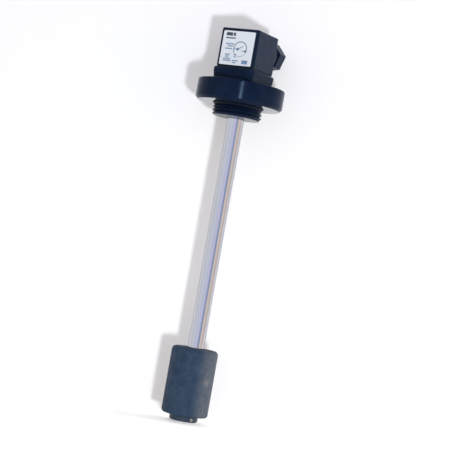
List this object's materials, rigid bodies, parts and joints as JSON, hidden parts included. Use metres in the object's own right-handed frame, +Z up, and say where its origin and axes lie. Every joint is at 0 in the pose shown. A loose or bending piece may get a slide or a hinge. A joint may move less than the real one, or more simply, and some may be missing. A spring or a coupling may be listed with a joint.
{
  "type": "float level switch",
  "caption": "Float level switch with a square plug-in cable connector, a flanged head with a pipe thread, a slim metal stem and a black float that slides above a stop collar.",
  "frame": {"origin": "centre of the flange's sealing face, on the axis of the thread and stem", "axes": "+Z up along the stem towards the connector, -Y the label side, +Y the cable side"},
  "size_m": [0.0584, 0.0665, 0.262],
  "materials": {
    "housing_plastic": "fine-grained black glass-filled nylon",
    "head_plastic": "satin black glass-filled nylon",
    "label_film": "white satin printed film, no maker's text",
    "stem_steel": "polished stainless tube",
    "float_rubber": "matt closed-cell nitrile rubber",
    "seal_rubber": "black nitrile rubber",
    "contact_brass": "tinned brass",
    "screw_steel": "zinc plated steel",
    "collar_plastic": "black moulded plastic",
    "carrier_plastic": "grey moulded plastic",
    "potting_resin": "cured casting resin",
    "magnet_ferrite": "sintered ferrite",
    "reed_glass": "thin glass tube",
    "reed_alloy": "nickel iron reed",
    "wire_brown": "insulated wire",
    "wire_blue": "insulated wire",
    "wire_green": "insulated wire"
  },
  "bodies": {
    "head_and_stem": {"head_body": "head_plastic", "flange_o_ring": "seal_rubber", "stem_tube": "stem_steel", "stem_plug": "stem_steel", "stem_potting": "potting_resin", "stop_collar": "collar_plastic", "stop_screw": "screw_steel", "contact_base": "housing_plastic", "base_insert": "contact_brass", "terminal_carrier": "carrier_plastic", "terminal_screws": "screw_steel", "connector_gasket": "seal_rubber", "connector_housing": "housing_plastic", "rating_label": "label_film", "screw_seal": "seal_rubber", "centre_screw": "screw_steel", "gland_grommet": "seal_rubber", "gland_washer": "screw_steel", "gland_nut": "housing_plastic", "reed_capsule": "reed_glass", "reed_blade_lower": "reed_alloy", "reed_blade_upper": "reed_alloy", "reed_carrier": "carrier_plastic", "contact_blade_1": "contact_brass", "contact_blade_2": "contact_brass", "contact_blade_earth": "contact_brass", "socket_contact_1": "contact_brass", "socket_contact_2": "contact_brass", "socket_contact_earth": "contact_brass", "lead_wire_1": "wire_brown", "lead_wire_2": "wire_blue", "earth_wire": "wire_green"},
    "float": {"float_body": "float_rubber", "float_magnet": "magnet_ferrite"}
  },
  "joints": [
    {"name": "float_slide", "type": "slide", "parent": "head_and_stem", "child": "float", "axis": [0, 0, 1], "range_m": [0, 0.1547]}
  ]
}
